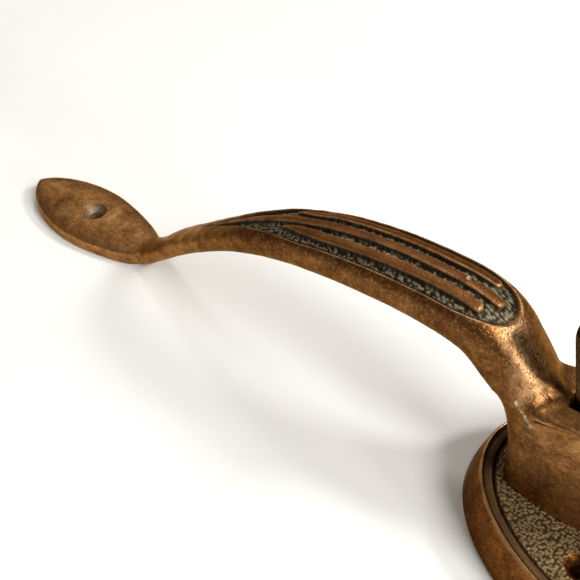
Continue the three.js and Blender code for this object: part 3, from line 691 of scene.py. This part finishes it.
def latch_plate():
    around = 860
    travel = np.concatenate([[0], np.cumsum(np.hypot(*np.diff(PLATE_SKIN, axis=0).T))])
    marks = np.linspace(0, travel[-1], 62)
    skin = np.stack([np.interp(marks, travel, PLATE_SKIN[:, k]) for k in (0, 1)], 1)
    field = np.arange(7.9, 34.4, 0.32)
    insets = np.concatenate([skin[:, 0], field])
    heights = np.concatenate([skin[:, 1], np.full(len(field), 11.8)])
    rings = plate_rings(insets, heights, around)
    points = rings.reshape(-1, 3).copy()
    inset = np.repeat(insets, around)
    floor = smooth(6.7, 7.4, inset)
    grains = stipple(points[:, 0], points[:, 1], 0.92, 11) * floor
    points[:, 2] += 0.22 * grains
    centre = np.array([PLATE_X, 0, 4])
    away = points - centre
    away /= np.linalg.norm(away, axis=1, keepdims=True)
    dents = 0.10 * value_noise(points, 6.0, 21) + 0.05 * value_noise(points, 2.2, 22)
    points += away * (dents * (points[:, 2] > 0.9) * (1 - floor))[:, None]
    rim = smooth(2.3, 2.9, inset) * (1 - smooth(3.2, 3.4, inset))
    bead = smooth(3.65, 3.9, inset) * (1 - smooth(6.0, 6.4, inset))
    gutter_and_shade = smooth(3.3, 3.5, inset) * (1 - smooth(7.3, 7.8, inset)) * (1 - bead)
    inner = len(points) - around
    top_centre = len(points)
    points = np.concatenate([points, [(PLATE_X, 0, 11.8)]])
    faces = ring_faces(len(rings), around, caps=False)
    faces.append(tuple(range(around))[::-1])
    faces += [(inner + i, inner + (i + 1) % around, top_centre) for i in range(around)]
    # Painted shade on the field and bead in front of the housing, joined to the dark gutter.
    shade = (1 - smooth(166.5, 171, points[:len(inset), 0])) * smooth(3.3, 3.6, inset)
    gutter_and_shade = np.maximum(gutter_and_shade, shade)
    looks = {
        "floor": np.maximum(floor, 0.8 * bead), "groove_and_shade": gutter_and_shade, "crest": rim,
        "grain": np.maximum(grains, 0.25 * bead),
    }
    looks = {key: np.append(value, 0.0) for key, value in looks.items()}
    piece = make_object("oval_plate", points, faces, looks)
    under = FIELD - 3
    hollow_insets, hollow_heights = (4.2, 4.0, 4.6, 5.2, 6.4, 7.5), (-1, 0.6, 6.5, 8.0, 8.8, under)
    back = loft("back_tool", plate_rings(hollow_insets, hollow_heights, 180))
    boss = [
        (0, -2), (5.2, -2), (5.2, 0), (5.6, 0.4),
        (5.7, under - 1.2), (6.2, under - 0.4), (7.0, under + 1), (0, under + 1),
    ]
    sink = [(0, -1), (2.2, -1), (2.2, 10.2), (2.3, 10.4), (3.6, 11.8), (3.9, 12.2), (4.1, 14), (0, 14)]
    centres = [(PLATE_X + sx * HOLE_DX, sy * HOLE_DY, 0) for sx in (-1, 1) for sy in (-1, 1)]
    for centre in centres:
        cut(back, lathe("boss_tool", boss, centre, "z", 48))
    for centre in centres:
        join(back, lathe("sink_tool", sink, centre, "z", 64))
    join(back, hollow_tool(0.3))
    for x in (SCREW_FRONT_X, SCREW_REAR_X):
        join(back, bore_tool("screw_tool", 2.4, (x, 0, 0), -1, 14))
    return cut(piece, back)


# ---- thumb lever, tail, rivets ----

LEAN = math.radians(15.5)
RIVET_X, RIVET_HEIGHTS = 197.4, (13.4, 9.2)


def blade_half_width(along):
    shank, blade = 2.3, 8.0
    width = shank + (blade - shank) * smooth(27.5, 38.5, along)
    corner = clamp01((along - 54.2) / 3.9)
    return width * (1 - 0.6 * corner ** 3.2)


def thumb_blade():
    marks = np.concatenate([np.arange(0, 54, 0.5), 54 + 4.05 * np.sin(np.linspace(0, math.pi / 2, 22))])
    around = 96
    angle = np.linspace(0, 2 * np.pi, around, endpoint=False)
    cos, sin = np.cos(angle), np.sin(angle)
    across = np.sign(cos) * np.abs(cos) ** (2 / 9.0)
    thick = np.sign(sin) * np.abs(sin) ** (2 / 4.5)
    rings = []
    for along in marks:
        half_width = float(blade_half_width(along))
        tip = max(0.0, (along - 56.2) / 1.9)
        thinned = 0.2 * float(smooth(30, 52, along))
        half_thick = 2.0 - thinned
        half_thick *= math.sqrt(max(0.02, 1 - tip ** 2)) if tip > 0 else 1
        dish = 0.9 * float(smooth(33, 46, along)) * (1 - float(smooth(54, 58, along)))
        wide = half_width * across
        depth = half_thick * thick
        depth = np.where(thick > 0, depth - dish * (1 - (wide / 8.0) ** 2) * clamp01(thick * 1.5), depth)
        side = depth - thinned - 0.7 * float(smooth(26, 34, along))
        x = PIVOT_X - math.sin(LEAN) * along + math.cos(LEAN) * side
        z = PIVOT_Z + math.cos(LEAN) * along + math.sin(LEAN) * side
        rings.append(np.stack([x, wide, z], 1))
    return loft("thumb_piece", rings)


def thumb_lever():
    piece = thumb_blade()
    corners = [
        (PIVOT_X - 3, PIVOT_Z), (PIVOT_X - 2, 6.7), (PIVOT_X + 7.6, 6.6), (PIVOT_X + 7.6, 13.8),
        (209.4, 15.6), (209.4, 19.0), (201.5, 19.1), (PIVOT_X + 4.2, PIVOT_Z + 1.6), (PIVOT_X, PIVOT_Z + 4),
    ]
    join(piece, prism("arm_tool", rounded(corners, 1.8), -1.8, 1.8))
    hub = [(0, -3.5), (4.9, -3.5), (5.4, -3.0), (5.4, 3.0), (4.9, 3.5), (0, 3.5)]
    join(piece, lathe("hub_tool", hub, (PIVOT_X, 0, PIVOT_Z), "y", 72))
    cut(piece, bore_tool("bore_tool", PIN_RADIUS + 0.1, (PIVOT_X, 0, PIVOT_Z), -9, 9, "y"))
    for z in RIVET_HEIGHTS:
        cut(piece, bore_tool("rivet_tool", 1.25, (RIVET_X, 0, z), -9, 9, "y"))
    return piece


def lift_tail():
    corners = [
        (193.6, 15.8), (193.6, 3.2), (195.2, 1.3), (201.6, 1.2),
        (203, 2.6), (202.6, 4.4), (201.3, 5.4), (201.2, 15.8),
    ]
    piece = prism("tail_strip", rounded(corners, 1.0), -4.1, -2.1, bevel=0.2)
    for z in RIVET_HEIGHTS:
        cut(piece, bore_tool("rivet_tool", 1.25, (RIVET_X, 0, z), -9, 9, "y"))
    return piece


def tail_rivet(name, z):
    profile = [(0, -5.2), (0.8, -5.12), (1.4, -4.95), (1.9, -4.65), (2, -4.4), (1.05, -4.3), (1.05, 2.0),
               (2, 2.1), (1.9, 2.4), (1.4, 2.72), (0.8, 2.86), (0, 2.9)]
    return lathe(name, profile, (RIVET_X, 0, z), "y", 40)


def pivot_pin():
    r, far = PIN_RADIUS, PIN_FAR
    profile = [(0, PIN_NEAR), (1.8, PIN_NEAR + 0.02), (r, PIN_NEAR + 0.5),
               (r, far - 0.6), (1.8, far - 0.15), (1.2, far - 0.05), (0, far - 0.12)]
    return lathe("peened_pin", profile, (PIVOT_X, 0, PIVOT_Z), "y", 56)


def flat_washer(name, inner, outer, half, centre, axis):
    ease = 0.18
    profile = rounded([(inner, -half), (outer, -half), (outer, half), (inner, half)], ease, 3)
    return ring_lathe(name, profile, centre, axis, 72)


def housing_screw(name, x, top):
    head_top = FIELD - 3 - 1.6
    low = head_top - 3
    pitch, turns_from = 0.7, head_top + 0.4
    profile = [(0, low), (2.9, low), (3.4, low + 0.25), (3.6, low + 0.6)]
    profile += [(3.6, head_top - 0.15), (3.45, head_top), (2.0, head_top)]
    z = turns_from
    while z + pitch < top - 1:
        profile += [(2.0, z), (1.78, z + pitch / 2)]
        z += pitch
    profile += [(2.0, top - 1.1), (1.3, top - 0.1), (0, top)]
    piece = lathe(name, profile, (x, 0, 0), "z", 56)
    half, reach = 0.5, 6
    corners = [(x - half, -reach), (x + half, -reach), (x + half, reach), (x - half, reach)]
    slot = prism("slot_cut", corners, low - 1, low + 1.2, "z", 0.01)
    return cut(piece, slot)


def return_spring():
    """Helix whose end coils lie flat, from the lever's arm up to the housing's roof."""
    x, bottom, top, radius, wire, turns = 205.5, 19.4, 30.1, 2.6, 0.45, 5.5
    t = np.linspace(0, 1, 460)
    eased = np.clip((t * turns - 0.75) / (turns - 1.5), 0, 1)
    low, high = bottom + wire, top - wire
    z = low + (high - low) * eased
    angle = 2 * np.pi * turns * t
    centre = np.stack([x + radius * np.cos(angle), radius * np.sin(angle), z], 1)
    tangent = np.gradient(centre, axis=0)
    tangent /= np.linalg.norm(tangent, axis=1, keepdims=True)
    outwards = np.stack([np.cos(angle), np.sin(angle), np.zeros_like(angle)], 1)
    third = np.cross(tangent, outwards)
    ring = np.linspace(0, 2 * np.pi, 14, endpoint=False)
    rings = centre[:, None] + wire * (
        np.cos(ring)[None, :, None] * outwards[:, None] + np.sin(ring)[None, :, None] * third[:, None]
    )
    return loft("coil_spring", rings)


# ---- surfaces ----

def tone(red, green, blue):
    """Screen colour values from 0 to 255 as a linear colour."""
    values = [v / 255 for v in (red, green, blue)]
    return tuple(v / 12.92 if v <= 0.04045 else ((v + 0.055) / 1.055) ** 2.4 for v in values) + (1.0,)


class Surface:
    """A material under construction, with short calls for its nodes."""

    def __init__(self, name):
        self.material = bpy.data.materials.new(name)
        self.material.use_nodes = True
        self.tree = self.material.node_tree
        self.shader = self.tree.nodes["Principled BSDF"]
        self.place = self.node("ShaderNodeTexCoord").outputs["Object"]

    def node(self, kind, inputs=None, **settings):
        node = self.tree.nodes.new(kind)
        for key, value in settings.items():
            setattr(node, key, value)
        for key, value in (inputs or {}).items():
            self.feed(node.inputs[key], value)
        return node

    def feed(self, socket, value):
        if isinstance(value, bpy.types.NodeSocket):
            self.tree.links.new(value, socket)
        else:
            socket.default_value = value

    def noise(self, size_mm, detail=3.0, rough=0.55):
        inputs = {"Vector": self.place, "Scale": 1000 / size_mm, "Detail": detail, "Roughness": rough}
        return self.node("ShaderNodeTexNoise", inputs).outputs["Fac"]

    def cells(self, size_mm):
        inputs = {"Vector": self.place, "Scale": 1000 / size_mm}
        return self.node("ShaderNodeTexVoronoi", inputs).outputs["Distance"]

    def math(self, operation, a, b=0.0):
        return self.node("ShaderNodeMath", {0: a, 1: b}, operation=operation).outputs[0]

    def band(self, value, low, high, to_low=0.0, to_high=1.0):
        inputs = {"Value": value, "From Min": low, "From Max": high, "To Min": to_low, "To Max": to_high}
        return self.node("ShaderNodeMapRange", inputs, clamp=True).outputs["Result"]

    def ramp(self, value, stops):
        node = self.node("ShaderNodeValToRGB", {"Fac": value})
        elements = node.color_ramp.elements
        while len(elements) < len(stops):
            elements.new(0.5)
        for element, (place, colour) in zip(elements, stops):
            element.position = place
            element.color = colour
        return node.outputs["Color"]

    def mix(self, share, a, b):
        node = self.node("ShaderNodeMix", data_type="RGBA")
        self.feed(node.inputs[0], share)
        self.feed(node.inputs[6], a)
        self.feed(node.inputs[7], b)
        return node.outputs[2]

    def attribute(self, name):
        return self.node("ShaderNodeAttribute", attribute_name=name, attribute_type="GEOMETRY").outputs["Fac"]

    def bump(self, *layers):
        normal = None
        for height, depth_mm in layers:
            inputs = {"Height": height, "Strength": 1.0, "Distance": depth_mm * MM}
            if normal is not None:
                inputs["Normal"] = normal
            normal = self.node("ShaderNodeBump", inputs).outputs["Normal"]
        self.feed(self.shader.inputs["Normal"], normal)


# Colour of the painted highlight on the back of the neck.
HIGHLIGHT_TONE = tone(240, 192, 138)
PAINT_TONES = (tone(150, 146, 112), tone(236, 230, 214))
EDGE_TINT = (0.8, 0.56, 0.36, 1)


def aged_bronze(name, tones, worn, floor_tones, groove_and_shade, crest, gloss, far_tones=None):
    """Cast bronze, dark in its hollows from patina and painted shade, rubbed bright on its high places, with
    a painted highlight on the back of the neck.
    """
    s = Surface(name)

    def part(mask, share):
        return s.math("MULTIPLY", mask, share)

    broad, patch, fine = s.noise(24, 4), s.noise(4.5, 6, 0.68), s.noise(0.8, 4, 0.65)
    mottle = s.noise(1.7, 5, 0.7)
    blend = s.math("ADD", part(broad, 0.35), part(patch, 0.4))
    blend = s.math("ADD", blend, part(mottle, 0.25))
    colour = s.ramp(blend, list(zip((0.38, 0.5, 0.61), tones)))
    if far_tones:
        x = s.node("ShaderNodeSeparateXYZ", {"Vector": s.place}).outputs["X"]
        far = s.ramp(blend, list(zip((0.4, 0.5, 0.6), far_tones)))
        colour = s.mix(s.band(x, HOLE_X + 0.035, HOLE_X + 0.075), far, colour)
        colour = s.mix(s.band(x, HOLE_X + 0.168, HOLE_X + 0.177), colour, far)
    flecks = part(s.band(s.cells(1.3), 0.28, 0.1), s.band(s.noise(6, 2), 0.46, 0.6))
    colour = s.mix(part(flecks, 0.5), colour, groove_and_shade)
    grain = s.band(fine, 0.3, 0.7, -0.5, 0.5)
    colour = s.mix(s.band(grain, 0.05, 0.4, 0, 0.25), colour, worn)
    floor = s.attribute("floor")
    low = s.math("ADD", part(s.attribute("grain"), 0.55), part(s.noise(3.0, 4, 0.7), 0.6))
    colour = s.mix(floor, colour, s.ramp(low, list(zip((0.3, 0.55, 0.82), floor_tones))))
    # Dark patina in grooves and along the recess, with painted shade along the crease, in the foot's screw
    # bore and on the plate in front of the housing.
    colour = s.mix(part(s.attribute("groove_and_shade"), s.band(patch, 0.3, 0.6, 0.7, 1.0)), colour, groove_and_shade)
    colour = s.mix(part(s.attribute("crest"), s.band(patch, 0.36, 0.6, 0.3, 0.85)), colour, crest)
    edge = part(s.band(s.attribute("edge_wear_and_crease_shade"), 0.1, 0.5), s.band(patch, 0.38, 0.58, 0.3, 0.95))
    colour = s.mix(edge, colour, worn)
    # Painted highlight on the back of the neck.
    neck_highlight = part(s.attribute("neck_highlight"), s.band(mottle, 0.36, 0.56, 0.15, 1.0))
    colour = s.mix(neck_highlight, colour, HIGHLIGHT_TONE)
    # Painted shade in creases and inside corners, together with dark patina there.
    colour = s.mix(s.band(s.attribute("edge_wear_and_crease_shade"), -0.05, -0.35, 0.0, 0.8), colour, groove_and_shade)
    paint = s.ramp(s.noise(2.2, 3), list(zip((0.4, 0.6), PAINT_TONES)))
    colour = s.mix(s.attribute("pale"), colour, paint)
    s.feed(s.shader.inputs["Base Color"], colour)
    rough = s.math("ADD", s.band(patch, 0.35, 0.65, gloss + 0.12, gloss - 0.06), part(grain, 0.16))
    s.feed(s.shader.inputs["Roughness"], s.math("ADD", rough, part(floor, 0.2)))
    dull = s.math("ADD", floor, s.attribute("pale"))
    s.feed(s.shader.inputs["Metallic"], s.band(dull, 0.0, 1.0, 0.88, 0.45))
    s.shader.inputs["Specular Tint"].default_value = EDGE_TINT
    pits = part(s.band(s.cells(0.85), 0.0, 0.45), s.band(broad, 0.42, 0.58, 0.15, 1.0))
    s.bump((s.noise(2.6, 4, 0.55), 0.13), (pits, 0.08), (fine, 0.03))
    return s.material


def plain_metal(name, dark, light, stain, metallic, roughness):
    """Small turned or pressed parts with handling marks and a little staining."""
    s = Surface(name)
    patch, fine = s.noise(3.5, 5, 0.6), s.noise(0.35, 3)
    colour = s.ramp(patch, [(0.35, dark), (0.65, light)])
    stained = s.math("MULTIPLY", s.band(s.noise(6, 4, 0.7), 0.5, 0.7), 0.7)
    colour = s.mix(stained, colour, stain)
    colour = s.mix(s.math("MULTIPLY", s.band(s.attribute("edge_wear_and_crease_shade"), 0.05, 0.5), 0.5), colour, light)
    s.feed(s.shader.inputs["Base Color"], colour)
    s.shader.inputs["Metallic"].default_value = metallic
    s.feed(s.shader.inputs["Roughness"], s.band(patch, 0.3, 0.7, roughness + 0.1, roughness - 0.08))
    s.bump((s.noise(1.6, 4), 0.03), (fine, 0.012))
    return s.material


def convexity(piece):
    """Stores how far each vertex stands proud of its neighbours, near 1 on edges and below 0 in creases."""
    mesh = piece.data
    count = len(mesh.vertices)
    at, a, b = mesh_arrays(mesh)
    normal = np.empty(count * 3)
    mesh.vertices.foreach_get("normal", normal)
    normal = normal.reshape(-1, 3)
    apart = at[b] - at[a]
    length = np.maximum(np.linalg.norm(apart, axis=1), 1e-7)
    share = np.bincount(a, minlength=count) + np.bincount(b, minlength=count)
    share = np.maximum(share, 1)
    fall_a = -np.sum(apart * normal[a], 1) / length
    fall_b = np.sum(apart * normal[b], 1) / length
    value = (np.bincount(a, fall_a, count) + np.bincount(b, fall_b, count)) / share
    for _ in range(2):
        spread = (np.bincount(a, value[b], count) + np.bincount(b, value[a], count)) / share
        value = 0.5 * value + 0.5 * spread
    layer = mesh.attributes.new("edge_wear_and_crease_shade", "FLOAT", "POINT")
    layer.data.foreach_set("value", np.clip(value * 2.5, -1, 1).astype(np.float32))


SURFACES = {
    "pull_handle": aged_bronze(
        "handle_bronze", (tone(64, 36, 15), tone(98, 61, 30), tone(134, 92, 52)), tone(222, 170, 112),
        (tone(17, 15, 12), tone(58, 55, 44), tone(126, 120, 98)), tone(30, 21, 12),
        tone(128, 80, 42), 0.36, (tone(98, 63, 32), tone(146, 101, 57), tone(180, 135, 86))),
    "latch_plate": aged_bronze(
        "plate_bronze", (tone(54, 23, 5), tone(84, 44, 13), tone(110, 66, 27)), tone(200, 148, 96),
        (tone(58, 47, 28), tone(90, 74, 47), tone(132, 113, 80)), tone(38, 27, 16),
        tone(186, 146, 100), 0.34),
    # The lever's bronze is a darker copy of the casting's, standing for the shade its face lies in: painted
    # shade.
    "thumb_lever": aged_bronze(
        "lever_bronze_painted_shade", (tone(30, 20, 10), tone(48, 34, 18), tone(68, 51, 30)), tone(140, 106, 66),
        (tone(44, 38, 24), tone(104, 94, 66), tone(176, 162, 124)), tone(34, 26, 16),
        tone(150, 120, 80), 0.34),
}
# Name, dark and light tone, stain, metalness and roughness of the small parts' metals.
SMALL_METALS = {
    "lift_tail": ("strip_brass", (104, 78, 42), (150, 118, 70), (60, 46, 30), 0.85, 0.38),
    "rivets": ("rivet_bronze", (96, 68, 38), (146, 110, 66), (52, 42, 28), 0.85, 0.36),
    "pivot_pin": ("pin_steel", (96, 92, 86), (148, 144, 138), (84, 60, 40), 0.9, 0.34),
    "washers": ("washer_brass", (120, 92, 50), (164, 132, 80), (70, 56, 36), 0.88, 0.34),
    "return_spring": ("spring_steel", (88, 86, 84), (140, 138, 136), (92, 62, 38), 0.9, 0.32),
    "screws": ("screw_steel", (84, 80, 76), (134, 130, 124), (88, 60, 38), 0.88, 0.4),
}
for slot, (name, dark, light, stain, metallic, roughness) in SMALL_METALS.items():
    SURFACES[slot] = plain_metal(name, tone(*dark), tone(*light), tone(*stain), metallic, roughness)


# ---- pieces onto the frame ----

def place(piece, node, slot, body="base"):
    piece.name = node + "_detail"
    convexity(piece)
    piece.data.materials.clear()
    piece.data.materials.append(SURFACES[slot])
    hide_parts(node)
    if body:
        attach(piece, body)
    return piece


place(handle_casting(), "pull_handle", "pull_handle")
place(latch_plate(), "latch_plate", "latch_plate")
place(thumb_lever(), "thumb_lever", "thumb_lever", "lever")
place(lift_tail(), "lift_tail", "lift_tail", "lever")
place(tail_rivet("upper_rivet", RIVET_HEIGHTS[0]), "tail_rivet_upper", "rivets", "lever")
place(tail_rivet("lower_rivet", RIVET_HEIGHTS[1]), "tail_rivet_lower", "rivets", "lever")
place(pivot_pin(), "pivot_pin", "pivot_pin")
for end, y in (("near", -4.4), ("far", 4.4)):
    washer = flat_washer(end + "_washer", 2.4, 4.4, 0.6, (PIVOT_X, y, PIVOT_Z), "y")
    place(washer, "pivot_washer_" + end, "washers")
place(housing_screw("front_screw", SCREW_FRONT_X, 24), "housing_screw_front", "screws")
place(housing_screw("rear_screw", SCREW_REAR_X, 17.8), "housing_screw_rear", "screws")
for end, x in (("front", SCREW_FRONT_X), ("rear", SCREW_REAR_X)):
    place(flat_washer(end + "_washer", 2.3, 4.4, 0.5, (x, 0, 8.2), "z"), "screw_washer_" + end, "washers")
spring = place(return_spring(), "return_spring", "return_spring", None)
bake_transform(spring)


# ---- floor, light, camera ----

def floor():
    half = 3.0
    corners = [(-half, -half, 0), (half, -half, 0), (half, half, 0), (-half, half, 0)]
    mesh = bpy.data.meshes.new("floor")
    mesh.from_pydata(corners, [], [(0, 1, 2, 3)])
    sheet = bpy.data.objects.new("floor", mesh)
    sheet.location.z = -0.0002
    bpy.context.scene.collection.objects.link(sheet)
    s = Surface("white_board")
    white = s.ramp(s.noise(60, 3), [(0.3, tone(244, 244, 240)), (0.7, tone(247, 247, 243))])
    s.feed(s.shader.inputs["Base Color"], white)
    s.shader.inputs["Roughness"].default_value = 0.85
    s.shader.inputs["Specular IOR Level"].default_value = 0.2
    s.bump((s.noise(1.2, 2), 0.01))
    mesh.materials.append(s.material)


LAMP_DISTANCE = 1.5


def lamp(name, toward, size, power):
    """An area light that faces the middle of the object from the given direction."""
    data = bpy.data.lights.new(name, "AREA")
    data.shape = "DISK"
    data.size = size
    data.energy = power
    light = bpy.data.objects.new(name, data)
    direction = Vector(toward).normalized()
    light.location = direction * LAMP_DISTANCE
    light.rotation_euler = direction.to_track_quat("Z", "Y").to_euler()
    bpy.context.scene.collection.objects.link(light)


def camera():
    azimuth, elevation, roll = math.radians(38.73), math.radians(47.8), math.radians(-0.49)
    flat = math.cos(elevation)
    forward = Vector((-math.sin(azimuth) * flat, math.cos(azimuth) * flat, -math.sin(elevation)))
    level = Vector((math.cos(azimuth), math.sin(azimuth), 0))
    upright = level.cross(forward)
    right = level * math.cos(roll) + upright * math.sin(roll)
    up = upright * math.cos(roll) - level * math.sin(roll)
    data = bpy.data.cameras.new("camera")
    data.sensor_width = 36
    data.lens = 49.67
    data.clip_start = 0.01
    view = bpy.data.objects.new("camera", data)
    turn = Matrix((right, up, -forward)).transposed().to_4x4()
    view.matrix_world = Matrix.Translation(Vector((HOLE_X + 0.1954, -0.128, 0.2074))) @ turn
    bpy.context.scene.collection.objects.link(view)
    bpy.context.scene.camera = view


def sky():
    """A soft warm ceiling over darker walls."""
    world = bpy.data.worlds.new("sky")
    world.use_nodes = True
    nodes, links = world.node_tree.nodes, world.node_tree.links
    place = nodes.new("ShaderNodeTexCoord")
    height = nodes.new("ShaderNodeSeparateXYZ")
    level = nodes.new("ShaderNodeMapRange")
    for key, value in (("From Min", 0.1), ("From Max", 0.75), ("To Min", 0.14), ("To Max", 0.25)):
        level.inputs[key].default_value = value
    links.new(place.outputs["Generated"], height.inputs["Vector"])
    links.new(height.outputs["Z"], level.inputs["Value"])
    links.new(level.outputs["Result"], nodes["Background"].inputs["Strength"])
    nodes["Background"].inputs["Color"].default_value = (1.0, 0.9, 0.76, 1)
    bpy.context.scene.world = world


floor()
sky()
lamp("overhead", (0.0, -0.16, 1.0), 1.1, 1.2)
lamp("key", (0.0, 0.38, 1.0), 0.22, 2.6)
lamp("window", (0.7, -0.1, 0.68), 0.7, 16.0)
lamp("side_window", (0.66, 0.36, 0.66), 0.28, 10.0)
lamp("low_window", (0.95, -0.17, 0.25), 0.2, 6.0)
lamp("ceiling", (-0.55, 0.45, 0.7), 1.1, 2.6)
bpy.context.scene.view_settings.view_transform = "Standard"
camera()
